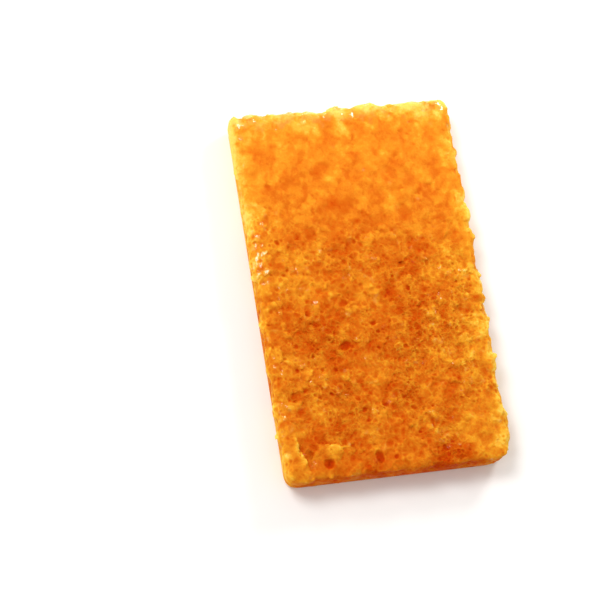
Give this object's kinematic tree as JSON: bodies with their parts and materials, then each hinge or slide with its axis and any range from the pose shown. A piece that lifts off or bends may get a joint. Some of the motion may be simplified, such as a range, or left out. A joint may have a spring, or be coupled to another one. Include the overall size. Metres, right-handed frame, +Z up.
{
  "type": "cracker",
  "caption": "Oblong baked cheese cracker with a bubbly pitted face, lumpy upper edges and a flat underside that it lies on.",
  "frame": {"origin": "middle of the flat underside", "axes": "+Z up through the bubbly face, +Y along the length, +X across the width"},
  "size_m": [0.048, 0.08, 0.0075],
  "materials": {
    "baked_cheese": "baked, porous and slightly oily"
  },
  "bodies": {
    "root": {"cracker": "baked_cheese"}
  },
  "joints": []
}
